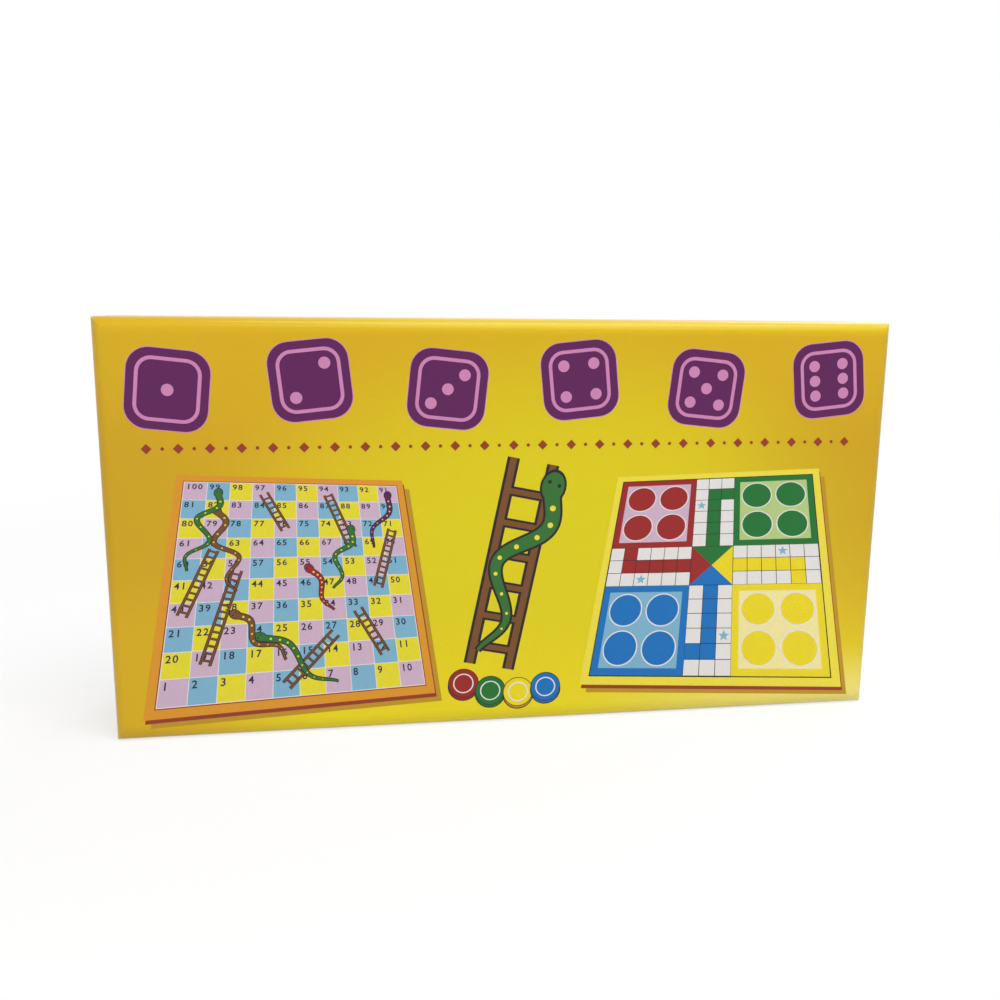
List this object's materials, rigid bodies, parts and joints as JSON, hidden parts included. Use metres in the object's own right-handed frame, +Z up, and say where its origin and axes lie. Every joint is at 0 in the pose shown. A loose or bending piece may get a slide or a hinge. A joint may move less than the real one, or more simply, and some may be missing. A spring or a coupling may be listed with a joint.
{
  "type": "boxed snakes and ladders board",
  "caption": "Closed lift-off-lid game carton standing on its long edge, holding a folding snakes and ladders and ludo board, a formed insert, counters, pawns and a die.",
  "frame": {"origin": "middle of the carton's footprint, on the surface that its long lower wall stands on", "axes": "+X along the width of the printed front panel, seen from the front towards the right; +Y from the front panel to the back; +Z up"},
  "size_m": [0.27, 0.041, 0.1416],
  "materials": {
    "lid_board": "gloss-laminated print",
    "tray_board": "uncoated white-lined board",
    "formed_sheet": "formed white sheet",
    "greyboard": "raw greyboard",
    "grid_print": "varnished print",
    "ludo_print": "varnished print",
    "red_plastic": "moulded",
    "green_plastic": "moulded",
    "yellow_plastic": "moulded",
    "blue_plastic": "moulded",
    "die_plastic": "moulded"
  },
  "bodies": {
    "tray": {"base_tray": "tray_board", "insert_tray": "formed_sheet"},
    "lid": {"lid": "lid_board"},
    "board_back": {"back_leaf": "greyboard", "snakes_sheet_back": "grid_print", "ludo_sheet_back": "ludo_print"},
    "board_front": {"front_leaf": "greyboard", "snakes_sheet_front": "grid_print", "ludo_sheet_front": "ludo_print"},
    "counter_red_1": {"counter_red_1": "red_plastic"},
    "counter_red_2": {"counter_red_2": "red_plastic"},
    "counter_red_3": {"counter_red_3": "red_plastic"},
    "counter_red_4": {"counter_red_4": "red_plastic"},
    "counter_green_1": {"counter_green_1": "green_plastic"},
    "counter_green_2": {"counter_green_2": "green_plastic"},
    "counter_green_3": {"counter_green_3": "green_plastic"},
    "counter_green_4": {"counter_green_4": "green_plastic"},
    "counter_yellow_1": {"counter_yellow_1": "yellow_plastic"},
    "counter_yellow_2": {"counter_yellow_2": "yellow_plastic"},
    "counter_yellow_3": {"counter_yellow_3": "yellow_plastic"},
    "counter_yellow_4": {"counter_yellow_4": "yellow_plastic"},
    "counter_blue_1": {"counter_blue_1": "blue_plastic"},
    "counter_blue_2": {"counter_blue_2": "blue_plastic"},
    "counter_blue_3": {"counter_blue_3": "blue_plastic"},
    "counter_blue_4": {"counter_blue_4": "blue_plastic"},
    "pawn_red": {"pawn_red": "red_plastic"},
    "pawn_green": {"pawn_green": "green_plastic"},
    "pawn_yellow": {"pawn_yellow": "yellow_plastic"},
    "pawn_blue": {"pawn_blue": "blue_plastic"},
    "die": {"die": "die_plastic"}
  },
  "joints": [
    {"name": "lid_lift", "type": "slide", "parent": "tray", "child": "lid", "axis": [0, -1, 0], "range_m": [0, 0.6]},
    {"name": "board_lift", "type": "slide", "parent": "tray", "child": "board_back", "axis": [0, -1, 0], "range_m": [0, 0.18]},
    {"name": "board_fold", "type": "hinge", "parent": "board_back", "child": "board_front", "pos_m": [0, -0.01585, 0.1338], "axis": [-1, 0, 0], "range_deg": [0, 180]},
    {"name": "counter_red_1_lift", "type": "slide", "parent": "tray", "child": "counter_red_1", "axis": [0, -1, 0], "range_m": [0, 0.042]},
    {"name": "counter_red_2_lift", "type": "slide", "parent": "tray", "child": "counter_red_2", "axis": [0, -1, 0], "range_m": [0, 0.054]},
    {"name": "counter_red_3_lift", "type": "slide", "parent": "tray", "child": "counter_red_3", "axis": [0, -1, 0], "range_m": [0, 0.066]},
    {"name": "counter_red_4_lift", "type": "slide", "parent": "tray", "child": "counter_red_4", "axis": [0, -1, 0], "range_m": [0, 0.078]},
    {"name": "counter_green_1_lift", "type": "slide", "parent": "tray", "child": "counter_green_1", "axis": [0, -1, 0], "range_m": [0, 0.042]},
    {"name": "counter_green_2_lift", "type": "slide", "parent": "tray", "child": "counter_green_2", "axis": [0, -1, 0], "range_m": [0, 0.054]},
    {"name": "counter_green_3_lift", "type": "slide", "parent": "tray", "child": "counter_green_3", "axis": [0, -1, 0], "range_m": [0, 0.066]},
    {"name": "counter_green_4_lift", "type": "slide", "parent": "tray", "child": "counter_green_4", "axis": [0, -1, 0], "range_m": [0, 0.078]},
    {"name": "counter_yellow_1_lift", "type": "slide", "parent": "tray", "child": "counter_yellow_1", "axis": [0, -1, 0], "range_m": [0, 0.042]},
    {"name": "counter_yellow_2_lift", "type": "slide", "parent": "tray", "child": "counter_yellow_2", "axis": [0, -1, 0], "range_m": [0, 0.054]},
    {"name": "counter_yellow_3_lift", "type": "slide", "parent": "tray", "child": "counter_yellow_3", "axis": [0, -1, 0], "range_m": [0, 0.066]},
    {"name": "counter_yellow_4_lift", "type": "slide", "parent": "tray", "child": "counter_yellow_4", "axis": [0, -1, 0], "range_m": [0, 0.078]},
    {"name": "counter_blue_1_lift", "type": "slide", "parent": "tray", "child": "counter_blue_1", "axis": [0, -1, 0], "range_m": [0, 0.042]},
    {"name": "counter_blue_2_lift", "type": "slide", "parent": "tray", "child": "counter_blue_2", "axis": [0, -1, 0], "range_m": [0, 0.054]},
    {"name": "counter_blue_3_lift", "type": "slide", "parent": "tray", "child": "counter_blue_3", "axis": [0, -1, 0], "range_m": [0, 0.066]},
    {"name": "counter_blue_4_lift", "type": "slide", "parent": "tray", "child": "counter_blue_4", "axis": [0, -1, 0], "range_m": [0, 0.078]},
    {"name": "pawn_red_lift", "type": "slide", "parent": "tray", "child": "pawn_red", "axis": [0, -1, 0], "range_m": [0, 0.06]},
    {"name": "pawn_green_lift", "type": "slide", "parent": "tray", "child": "pawn_green", "axis": [0, -1, 0], "range_m": [0, 0.06]},
    {"name": "pawn_yellow_lift", "type": "slide", "parent": "tray", "child": "pawn_yellow", "axis": [0, -1, 0], "range_m": [0, 0.06]},
    {"name": "pawn_blue_lift", "type": "slide", "parent": "tray", "child": "pawn_blue", "axis": [0, -1, 0], "range_m": [0, 0.06]},
    {"name": "die_lift", "type": "slide", "parent": "tray", "child": "die", "axis": [0, -1, 0], "range_m": [0, 0.06]}
  ],
  "couplings": [
    {"joint": "board_lift", "follows": "lid_lift", "ratio": 0.3},
    {"joint": "board_fold", "follows": "lid_lift", "rad_per_m": 5.2359},
    {"joint": "counter_red_1_lift", "follows": "lid_lift", "ratio": 0.07},
    {"joint": "counter_red_2_lift", "follows": "lid_lift", "ratio": 0.09},
    {"joint": "counter_red_3_lift", "follows": "lid_lift", "ratio": 0.11},
    {"joint": "counter_red_4_lift", "follows": "lid_lift", "ratio": 0.13},
    {"joint": "counter_green_1_lift", "follows": "lid_lift", "ratio": 0.07},
    {"joint": "counter_green_2_lift", "follows": "lid_lift", "ratio": 0.09},
    {"joint": "counter_green_3_lift", "follows": "lid_lift", "ratio": 0.11},
    {"joint": "counter_green_4_lift", "follows": "lid_lift", "ratio": 0.13},
    {"joint": "counter_yellow_1_lift", "follows": "lid_lift", "ratio": 0.07},
    {"joint": "counter_yellow_2_lift", "follows": "lid_lift", "ratio": 0.09},
    {"joint": "counter_yellow_3_lift", "follows": "lid_lift", "ratio": 0.11},
    {"joint": "counter_yellow_4_lift", "follows": "lid_lift", "ratio": 0.13},
    {"joint": "counter_blue_1_lift", "follows": "lid_lift", "ratio": 0.07},
    {"joint": "counter_blue_2_lift", "follows": "lid_lift", "ratio": 0.09},
    {"joint": "counter_blue_3_lift", "follows": "lid_lift", "ratio": 0.11},
    {"joint": "counter_blue_4_lift", "follows": "lid_lift", "ratio": 0.13},
    {"joint": "pawn_red_lift", "follows": "lid_lift", "ratio": 0.1},
    {"joint": "pawn_green_lift", "follows": "lid_lift", "ratio": 0.1},
    {"joint": "pawn_yellow_lift", "follows": "lid_lift", "ratio": 0.1},
    {"joint": "pawn_blue_lift", "follows": "lid_lift", "ratio": 0.1},
    {"joint": "die_lift", "follows": "lid_lift", "ratio": 0.1}
  ]
}
